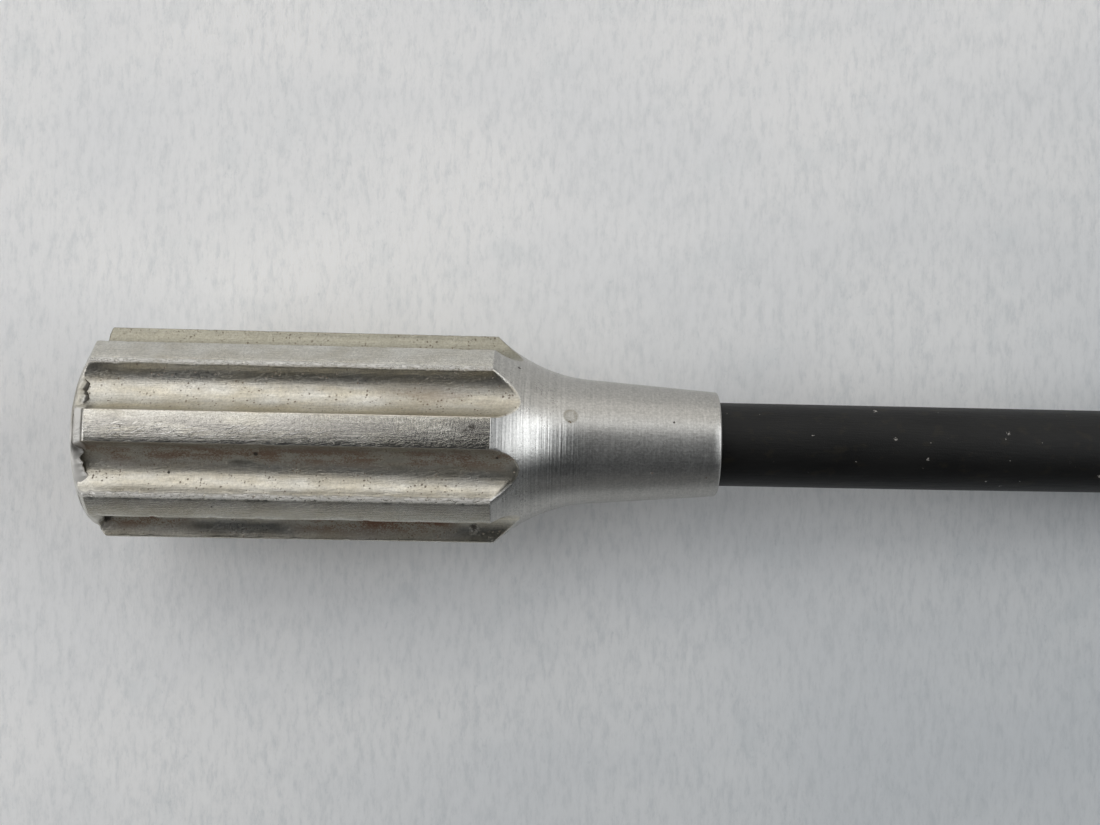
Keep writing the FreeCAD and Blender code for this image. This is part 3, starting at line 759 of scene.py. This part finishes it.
def sleeve_material():
    n = Nodes("sleeve_aluminium")
    clock, radius = n.clock(), n.radius()
    shoulder = n.band(n.x, SHOULDER_START - 0.05, SHOULDER_START + 0.05)
    fluted = n.math("SUBTRACT", 1.0, shoulder)
    across = n.math("MULTIPLY", clock, math.radians(LAND_FRONT_RADIUS))

    # how far each point is from the middle of the nearest flute's cutter
    pitch = 360.0 / FLUTE_COUNT
    turn = n.math("FLOORED_MODULO", n.math("ADD", clock, pitch / 2 - FLUTE_CLOCK), pitch)
    turn = n.math("RADIANS", n.math("SUBTRACT", turn, pitch / 2))
    lean = n.math("MULTIPLY", n.both(radius, n.math("COSINE", turn)), 2 * FLUTE_CENTRE)
    square = n.math("SUBTRACT", n.math("ADD", n.both(radius, radius), FLUTE_CENTRE**2), lean)
    from_cutter = n.math("SQRT", square)
    hollow = n.band(from_cutter, FLUTE_CUTTER + 0.09, FLUTE_CUTTER + 0.03)
    open_metal = n.math("SUBTRACT", 1.0, hollow)
    on_land = n.both(fluted, open_metal)
    bare = n.both(shoulder, open_metal)

    def away(station, angle):
        """Millimetres along the skin from one point of it."""
        along = n.math("SUBTRACT", n.x, station)
        aside = n.both(n.math("RADIANS", n.math("SUBTRACT", clock, angle)), radius)
        return n.math("SQRT", n.math("ADD", n.both(along, along), n.both(aside, aside)))

    blotches = n.noise((0.5, 0.8, 0.8), 4.0, seed=3.0)
    streaks = n.noise((0.6, 12.0, 12.0), 5.0, seed=5.0, rough=0.65)
    turning = n.noise((8.0, 0.07, 0.07), 3.0, seed=8.0, rough=0.6)
    hatching = n.noise((9.0, 2.5, 2.5), 3.0, seed=13.0, rough=0.7)
    fine = n.band(n.noise((6.5, 8.0, 8.0), 4.0, seed=1.0, rough=0.75), 0.32, 0.68)
    crumbs = n.noise((8.0, 11.0, 11.0), 4.0, seed=32.0, rough=0.85)

    # the metal itself
    color = n.mix(n.band(blotches, 0.3, 0.7), CLEAN_ALUMINIUM, WORN_ALUMINIUM)
    color = n.mix(bare, color, TURNED_ALUMINIUM)
    sides = n.math("MAXIMUM", n.band(clock, -14.0, -32.0), n.band(clock, 18.0, 40.0))
    color = n.mix(n.both(bare, sides, 0.75), color, DULL_METAL_AND_PAINTED_SHADE)
    warm = n.band(n.noise((0.35, 1.3, 1.3), 5.0, seed=21.0), 0.35, 0.7)
    color = n.mix(n.both(hollow, warm, 0.6), color, BEIGE_STAIN)
    # painted shade: the middle of the land on top is darkened to stand in for a dark reflection
    painted_land_shade = n.both(on_land, n.near(clock, -6.0, 9.0), n.band(warm, 0.9, 0.1))
    color = n.mix(n.math("MULTIPLY", painted_land_shade, 0.9), color, DULL_METAL_AND_PAINTED_SHADE)
    far_side = n.band(clock, -57.0, -60.0)
    color = n.mix(n.both(far_side, hollow, 0.95), color, DULL_BEIGE)

    # strokes where the land on top was rubbed
    rubbed = n.both(on_land, n.near(clock, -1.5, 7.0), n.band(n.x, 19.0, 8.0))
    strokes = n.math(
        "MAXIMUM",
        n.strokes(across, -24.0, (1.1, 11.0), 0.61, 0.65, seed=3.0),
        n.strokes(across, -9.0, (0.8, 12.0), 0.60, 0.65, seed=8.0),
    )
    share = n.math("ADD", n.math("MULTIPLY", n.band(rubbed, 0.0, 0.45), 0.95), 0.05)
    strokes = n.both(strokes, share, n.math("ADD", n.math("MULTIPLY", fluted, 0.9), 0.1))

    neck = n.band(n.x, 28.0, 31.0)
    lathed = n.mix_value(neck, turning, n.mix_value(0.5, streaks, turning))
    grain = n.mix_value(bare, streaks, lathed)
    color = n.shaded(color, n.math("ADD", n.math("MULTIPLY", grain, 0.6), 0.7))
    color = n.shaded(color, n.math("ADD", n.math("MULTIPLY", hatching, 0.4), 0.8))
    color = n.shaded(color, n.math("ADD", n.math("MULTIPLY", fine, 0.3), 0.85))
    color = n.mix(n.math("MULTIPLY", strokes, 0.9), color, BRIGHT_WEAR_AND_PAINTED_HIGHLIGHT)
    # bright edges along two flutes: worn metal, painted brighter as a highlight where light catches them
    worn_and_highlit_edges = n.math("MAXIMUM", n.near(clock, -40.5, 4.5), n.near(clock, 32.0, 4.5))
    worn_and_highlit_edges = n.both(n.band(worn_and_highlit_edges, 0.0, 0.6), fluted)
    worn_and_highlit_edges = n.both(worn_and_highlit_edges, n.band(from_cutter, FLUTE_CUTTER + 0.35, FLUTE_CUTTER + 0.2))
    worn_and_highlit_edges = n.both(worn_and_highlit_edges, n.band(from_cutter, FLUTE_CUTTER + 0.004, FLUTE_CUTTER + 0.02))
    nicks = n.band(n.noise((3.6, 8.0, 8.0), 4.0, seed=61.0, rough=0.7), 0.36, 0.56)
    color = n.mix(n.both(worn_and_highlit_edges, nicks, 0.9), color, BRIGHT_WEAR_AND_PAINTED_HIGHLIGHT)

    # painted highlight on the end's lip on top, and painted shade with some grime in the crack behind it
    on_top = n.band(n.near(clock, -3.0, 16.0), 0.0, 0.3)
    # painted highlight: the lip on top is painted pale and made matt
    painted_lip_highlight = n.both(on_top, n.band(n.x, 1.0, 0.85))
    color = n.mix(painted_lip_highlight, color, BRIGHT_WEAR_AND_PAINTED_HIGHLIGHT)
    # painted shade, with some grime, in the crack behind the lip
    crack_shade_and_grime = n.both(on_top, n.near(n.x, 1.05, 0.14), 0.8)
    color = n.mix(crack_shade_and_grime, color, GRIME_AND_PAINTED_SHADE)

    # cloudy stains of fine crumbs and specks of grime, then single dark marks
    # matt spots: real grime and stains, plus the painted highlight on the lip and the painted crack
    # shade
    dirt_and_painted_light = n.math("MAXIMUM", n.math("MULTIPLY", painted_lip_highlight, 0.8), crack_shade_and_grime)
    dirt_and_painted_light = n.math("MAXIMUM", dirt_and_painted_light, n.both(worn_and_highlit_edges, nicks, 0.5))
    for middle, width, start, end, strength, seed in STAINS:
        place = n.both(
            n.near(clock, middle, width),
            n.band(n.x, start - 1.0, start + 1.5),
            n.band(n.x, end + 1.0, end - 2.0),
        )
        place = n.both(place, hollow, strength)
        cloud = n.noise((0.45, 1.3, 1.3), 5.0, seed)
        film = n.both(place, n.band(cloud, 0.2, 0.5))
        color = n.mix(n.math("MULTIPLY", film, 0.8), color, BROWN_STAIN)
        spots = n.math("ADD", crumbs, n.math("MULTIPLY", cloud, 0.8))
        spots = n.both(place, n.band(spots, 0.85, 0.96))
        color = n.mix(n.math("MULTIPLY", spots, 0.9), color, RUST)
        dirt_and_painted_light = n.math("MAXIMUM", dirt_and_painted_light, n.math("MAXIMUM", n.math("MULTIPLY", film, 0.8), spots))
    specks = n.specks(5.0, 0.36, 1.4, 2.0)
    dusty = n.math("ADD", n.math("MULTIPLY", hollow, 0.8), 0.04)
    specks = n.both(specks, dusty, n.band(n.noise((0.9, 1.4, 1.4), 3.0, seed=15.0), 0.36, 0.54))
    specks = n.math("MAXIMUM", specks, n.specks(1.2, 0.12, 8.0, 6.0))
    color = n.mix(n.math("MULTIPLY", specks, 0.85), color, DIRT)
    wobble = n.math("SUBTRACT", crumbs, 0.5)
    marks = 0.0
    for station, angle, size, ragged in MARKS:
        reach = n.math("ADD", away(station, angle), n.math("MULTIPLY", wobble, ragged))
        marks = n.math("MAXIMUM", marks, n.band(reach, size, 0.55 * size))
    color = n.mix(n.math("MULTIPLY", marks, 0.92), color, GRIME_AND_PAINTED_SHADE)
    station, angle, size, width = RING_STAIN
    far = away(station, angle)
    filling = n.math("MULTIPLY", n.band(far, size, 0.6 * size), 0.5)
    stain = n.math("ADD", n.near(far, size, width), filling)
    stain = n.both(stain, n.band(crumbs, 0.25, 0.6), 0.6)
    color = n.mix(stain, color, RING_BROWN)
    dirt_and_painted_light = n.math("MAXIMUM", dirt_and_painted_light, n.math("MAXIMUM", n.math("MAXIMUM", specks, marks), stain))

    roughness = n.math("ADD", 0.13, n.math("MULTIPLY", blotches, 0.1))
    roughness = n.math("ADD", roughness, n.math("MULTIPLY", hollow, 0.1))
    roughness = n.math("ADD", roughness, n.math("MULTIPLY", bare, 0.09))
    roughness = n.math("ADD", roughness, n.math("MULTIPLY", n.both(bare, neck), 0.09))
    roughness = n.math("ADD", roughness, n.math("MULTIPLY", n.both(worn_and_highlit_edges, nicks), 0.22))
    roughness = n.math("ADD", roughness, n.math("MULTIPLY", fine, 0.05))
    roughness = n.math("ADD", roughness, n.math("MULTIPLY", dirt_and_painted_light, 0.3))
    metallic = n.math("SUBTRACT", 1.0, n.math("MULTIPLY", dirt_and_painted_light, 0.8))

    normal = n.bump(n.both(streaks, n.math("SUBTRACT", 1.0, bare)), 0.01)
    lathe = n.both(turning, bare, n.math("SUBTRACT", 1.0, n.math("MULTIPLY", neck, 0.7)))
    normal = n.bump(lathe, 0.022, normal)
    normal = n.bump(n.both(streaks, bare), 0.006, normal)
    normal = n.bump(n.both(hatching, fluted), 0.004, normal)
    normal = n.bump(fine, 0.0015, normal)
    normal = n.bump(strokes, 0.05, normal)
    normal = n.bump(n.both(worn_and_highlit_edges, nicks), 0.03, normal)
    normal = n.bump(n.math("SUBTRACT", 1.0, n.math("MAXIMUM", specks, marks)), 0.008, normal)
    return n.finish(color, roughness, normal, metallic)


def bush_material():
    """The bush's aluminium, with painted shade along the ragged ends of its tongues, a dark blot of
    grime, and a painted highlight on the lip near clock 16.
    """
    n = Nodes("bush_aluminium")
    radius = n.radius()
    blotches = n.noise((1.2, 0.9, 0.9), 4.0, seed=42.0)
    fine = n.noise((6.0, 8.0, 8.0), 4.0, seed=46.0, rough=0.7)
    color = n.mix(n.band(blotches, 0.35, 0.65), CLEAN_ALUMINIUM, WORN_ALUMINIUM)
    color = n.shaded(color, n.math("ADD", n.math("MULTIPLY", fine, 0.5), 0.75))
    # painted shade under the ragged ends of the tongues
    tongue = n.both(n.band(n.x, 0.25, 0.45), n.band(radius, 5.57, 5.50))
    tint = n.both(n.band(n.x, 0.1, 0.5), n.band(blotches, 0.3, 0.6), 0.4)
    color = n.mix(tint, color, BROWN_STAIN)
    blot = n.both(n.near(n.clock(), 8.0, 8.0), n.band(n.x, 0.05, 0.2), n.band(blotches, 0.3, 0.5))
    # painted highlight: the lip over the flute near clock 16 is painted pale and made matt
    painted_lip_sheen = n.both(n.near(n.clock(), 16.0, 30.0), n.band(radius, 5.35, 5.5))
    painted_lip_sheen = n.band(painted_lip_sheen, 0.0, 0.5)
    color = n.mix(painted_lip_sheen, color, BRIGHT_WEAR_AND_PAINTED_HIGHLIGHT)
    # painted shade along the tongues' ends, together with the blot of grime
    crack_shade_and_grime = n.math("MAXIMUM", n.math("MULTIPLY", tongue, 0.9), n.math("MULTIPLY", blot, 0.85))
    color = n.mix(crack_shade_and_grime, color, GRIME_AND_PAINTED_SHADE)
    roughness = n.math("ADD", 0.22, n.math("MULTIPLY", fine, 0.2))
    matt = n.math("MAXIMUM", n.math("MULTIPLY", tint, 0.7), n.math("MULTIPLY", painted_lip_sheen, 0.9))
    matt = n.math("MAXIMUM", matt, crack_shade_and_grime)
    metallic = n.math("SUBTRACT", 1.0, matt)
    return n.finish(color, roughness, n.bump(fine, 0.015), metallic)


def bright_material(name, seed):
    """Plain turned aluminium, handled and lightly scratched."""
    n = Nodes(name)
    blotches = n.noise((0.4, 0.7, 0.7), 4.0, seed=seed + 2.0)
    turning = n.noise((14.0, 0.3, 0.3), 4.0, seed=seed + 6.0)
    scratches = n.band(n.noise((0.8, 7.0, 7.0), 2.0, seed=seed + 9.0), 0.62, 0.7)
    specks = n.band(n.noise((3.5, 5.0, 5.0), 2.0, seed=seed + 12.0), 0.68, 0.73)
    color = n.mix(n.band(blotches, 0.35, 0.7), CLEAN_ALUMINIUM, WORN_ALUMINIUM)
    color = n.mix(n.math("MULTIPLY", specks, 0.6), color, GRIME_AND_PAINTED_SHADE)
    roughness = n.math("ADD", 0.24, n.math("MULTIPLY", blotches, 0.2))
    roughness = n.math("ADD", roughness, n.math("MULTIPLY", scratches, 0.15))
    normal = n.bump(turning, 0.02)
    normal = n.bump(scratches, 0.01, normal)
    return n.finish(color, roughness, normal)


def plain_metal(name, light, dark, seed):
    """A metal of two close shades, for small pieces inside."""
    n = Nodes(name)
    cloud = n.noise((0.8, 0.8, 0.8), 4.0, seed=seed)
    marks = n.noise((6.0, 6.0, 6.0), 3.0, seed=seed + 4.0)
    color = n.mix(n.band(cloud, 0.35, 0.65), light, dark)
    roughness = n.math("ADD", 0.25, n.math("MULTIPLY", marks, 0.2))
    return n.finish(color, roughness, n.bump(marks, 0.01))


def sheath_material():
    n = Nodes("sheath_black")
    cloud = n.noise((0.25, 0.6, 0.6), 4.0, seed=2.0)
    scuffs = n.noise((0.6, 8.0, 8.0), 4.0, seed=7.0)
    grain = n.noise((14.0, 14.0, 14.0), 2.0, seed=4.0)
    dust = n.specks(1.0, 0.12, 5.0, 4.0)
    smudge = n.band(n.noise((1.1, 1.6, 1.6), 4.0, seed=17.0), 0.56, 0.68)
    color = n.mix(n.band(cloud, 0.3, 0.7), SHEATH_BLACK, SHEATH_WORN_BLACK)
    color = n.mix(n.math("MULTIPLY", smudge, 0.25), color, SMUDGE)
    color = n.mix(dust, color, DUST)
    roughness = n.math("ADD", 0.42, n.math("MULTIPLY", scuffs, 0.2))
    normal = n.bump(grain, 0.01)
    normal = n.bump(scuffs, 0.015, normal)
    n.shader.inputs["Specular IOR Level"].default_value = 0.3
    return n.finish(color, roughness, normal, metallic=0.0)


def paper_material():
    """Matt fibrous paper, with painted shade that makes it a little greyer and bluer towards the near
    right corner.
    """
    n = Nodes("floor_paper")
    fibres = n.noise((2.4, 0.7, 1.0), 5.0, seed=3.0, rough=0.7)
    patches = n.noise((0.35, 0.3, 0.3), 3.0, seed=14.0)
    cloud = n.noise((0.06, 0.09, 0.06), 4.0, seed=9.0)
    color = n.mix(n.band(cloud, 0.3, 0.7), COOL_PAPER, WARM_PAPER)
    color = n.mix(n.both(n.band(patches, 0.55, 0.75), 0.5), color, PAPER_PATCH)
    color = n.mix(n.both(n.band(fibres, 0.45, 0.75), 0.7), color, PAPER_FIBRE)
    flecks = n.band(n.noise((4.0, 2.2, 3.0), 4.0, seed=71.0, rough=0.7), 0.55, 0.75)
    color = n.mix(n.both(flecks, n.band(patches, 0.35, 0.65), 0.35), color, PAPER_FLECK)
    # painted shade: the light falls off towards the near right corner
    corner = n.math("SUBTRACT", n.x, n.math("MULTIPLY", n.y, 1.3))
    painted_falloff = n.mix(n.band(corner, 0.0, 105.0), WHITE, CORNER_SHADE)
    color = n.vector("MULTIPLY", color, painted_falloff)
    color = n.shaded(color, n.math("ADD", 0.97, n.math("MULTIPLY", n.band(fibres, 0.7, 0.3), 0.06)))
    return n.finish(color, 0.9, n.bump(fibres, 0.03), metallic=0.0)


def wear_material(piece, material):
    piece.data.materials.clear()
    piece.data.materials.append(material)


# ---------------------------------------------------------------- stage
def add_floor():
    half = 1.5
    signs = ((-1, -1), (1, -1), (1, 1), (-1, 1))
    corners = [(x * half, y * half, FLOOR) for x, y in signs]
    floor = new_mesh("floor", corners, [(0, 1, 2, 3)])
    wear_material(floor, paper_material())


def add_panel(name, heading, tilt, spread, width, radiance, color=(1.0, 1.0, 1.0)):
    """A flat lamp that faces the coupling. heading is counted from +X towards +Y, tilt from
    straight up, and spread is half the angle that the lamp covers from top to bottom, all in degrees."""
    distance = 0.5
    heading, tilt = math.radians(heading), math.radians(tilt)
    way = Vector(
        (math.sin(tilt) * math.cos(heading), math.sin(tilt) * math.sin(heading), math.cos(tilt))
    )
    height = 2 * distance * math.tan(math.radians(spread))
    data = bpy.data.lights.new(name, "AREA")
    data.shape = "RECTANGLE"
    data.size, data.size_y = width, height
    data.energy = radiance * math.pi * width * height
    data.color = color
    lamp = bpy.data.objects.new(name, data)
    lamp.location = Vector(LIT_POINT) + distance * way
    lamp.rotation_euler = way.to_track_quat("Z", "Y").to_euler()
    bpy.context.scene.collection.objects.link(lamp)


def add_lights():
    world = bpy.data.worlds.new("room")
    world.use_nodes = True
    background = world.node_tree.nodes["Background"]
    background.inputs["Color"].default_value = (0.9, 0.95, 1.0, 1.0)
    background.inputs["Strength"].default_value = 0.035
    bpy.context.scene.world = world
    add_panel("window", 90.0, 58.0, 29.0, 1.4, 0.92, (1.0, 0.99, 0.97))
    add_panel("lamp", 116.0, 44.0, 13.0, 0.3, 0.5, (1.0, 0.98, 0.95))
    add_panel("upper_lamp", 150.0, 26.0, 12.0, 0.21, 1.5, (1.0, 0.99, 0.98))
    add_panel("right_wall", 8.0, 56.0, 16.0, 0.4, 1.9, (0.96, 0.98, 1.0))
    add_panel("left_wall", 182.0, 60.0, 17.0, 0.4, 2.4, (0.97, 0.98, 1.0))
    add_panel("near_wall", 270.0, 78.0, 10.0, 1.4, 0.17, (0.98, 0.99, 1.0))


def add_camera():
    data = bpy.data.cameras.new("camera")
    data.sensor_width = SENSOR_WIDTH
    data.lens = LENS
    data.clip_start = 0.005
    camera = bpy.data.objects.new("camera", data)
    camera.location = [place * MM for place in CAMERA_PLACE]
    camera.rotation_euler = [math.radians(angle) for angle in CAMERA_TURN]
    bpy.context.scene.collection.objects.link(camera)
    bpy.context.scene.camera = camera


# ---------------------------------------------------------------- putting it together
def dress_coupling():
    sleeve = make_sleeve()
    wear_material(sleeve, sleeve_material())
    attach(sleeve, "coupling")
    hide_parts("coupling_sleeve")
    bush = make_bush()
    wear_material(bush, bush_material())
    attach(bush, "coupling")
    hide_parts("mouth_bush")


def dress_sheath():
    sheath = make_sheath()
    wear_material(sheath, sheath_material())
    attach(sheath, "grip_and_sheath")
    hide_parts("sheath", "wound_liner", "drive_wire")


def dress_grip():
    pieces = {
        "grip_ferrule": grip_piece("ferrule_skin", GRIP_OUTLINES["grip_ferrule"]),
        "grip_barrel": make_barrel(),
        "finger_flange": grip_piece(
            "flange_skin", GRIP_OUTLINES["finger_flange"], edge=0.5, columns=128
        ),
        "end_cap": grip_piece("cap_skin", GRIP_OUTLINES["end_cap"]),
        "lock_ring": make_lock_ring(),
        "thumb_button": grip_piece(
            "button_skin",
            GRIP_OUTLINES["thumb_button"],
            edge=0.25,
            columns=360,
            ripple=(60, 0.12, 5.2),
        ),
    }
    bodies = {"lock_ring": "lock", "thumb_button": "plunger"}
    for seed, (node, piece) in enumerate(pieces.items()):
        wear_material(piece, bright_material(f"{node}_aluminium", 50.0 + 5 * seed))
        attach(piece, bodies.get(node, "grip_and_sheath"))
        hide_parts(node)


def dress_inner_pieces():
    brass = plain_metal("old_brass", BRASS, DARK_BRASS, 3.0)
    steel = plain_metal("drawn_steel", STEEL, DARK_STEEL, 6.0)
    spring = make_spring()
    wear_material(spring, steel)
    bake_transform(spring)
    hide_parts("return_spring")
    slots = {s["node"]: s["material_slot"] for s in frame["record"]["subparts"]}
    for name, node in frame["nodes"].items():
        if slots[name] in ("brass", "steel"):
            wear_material(node, brass if slots[name] == "brass" else steel)


bpy.context.scene.view_settings.view_transform = "Standard"
add_camera()
add_floor()
add_lights()
dress_sheath()
dress_coupling()
dress_grip()
dress_inner_pieces()
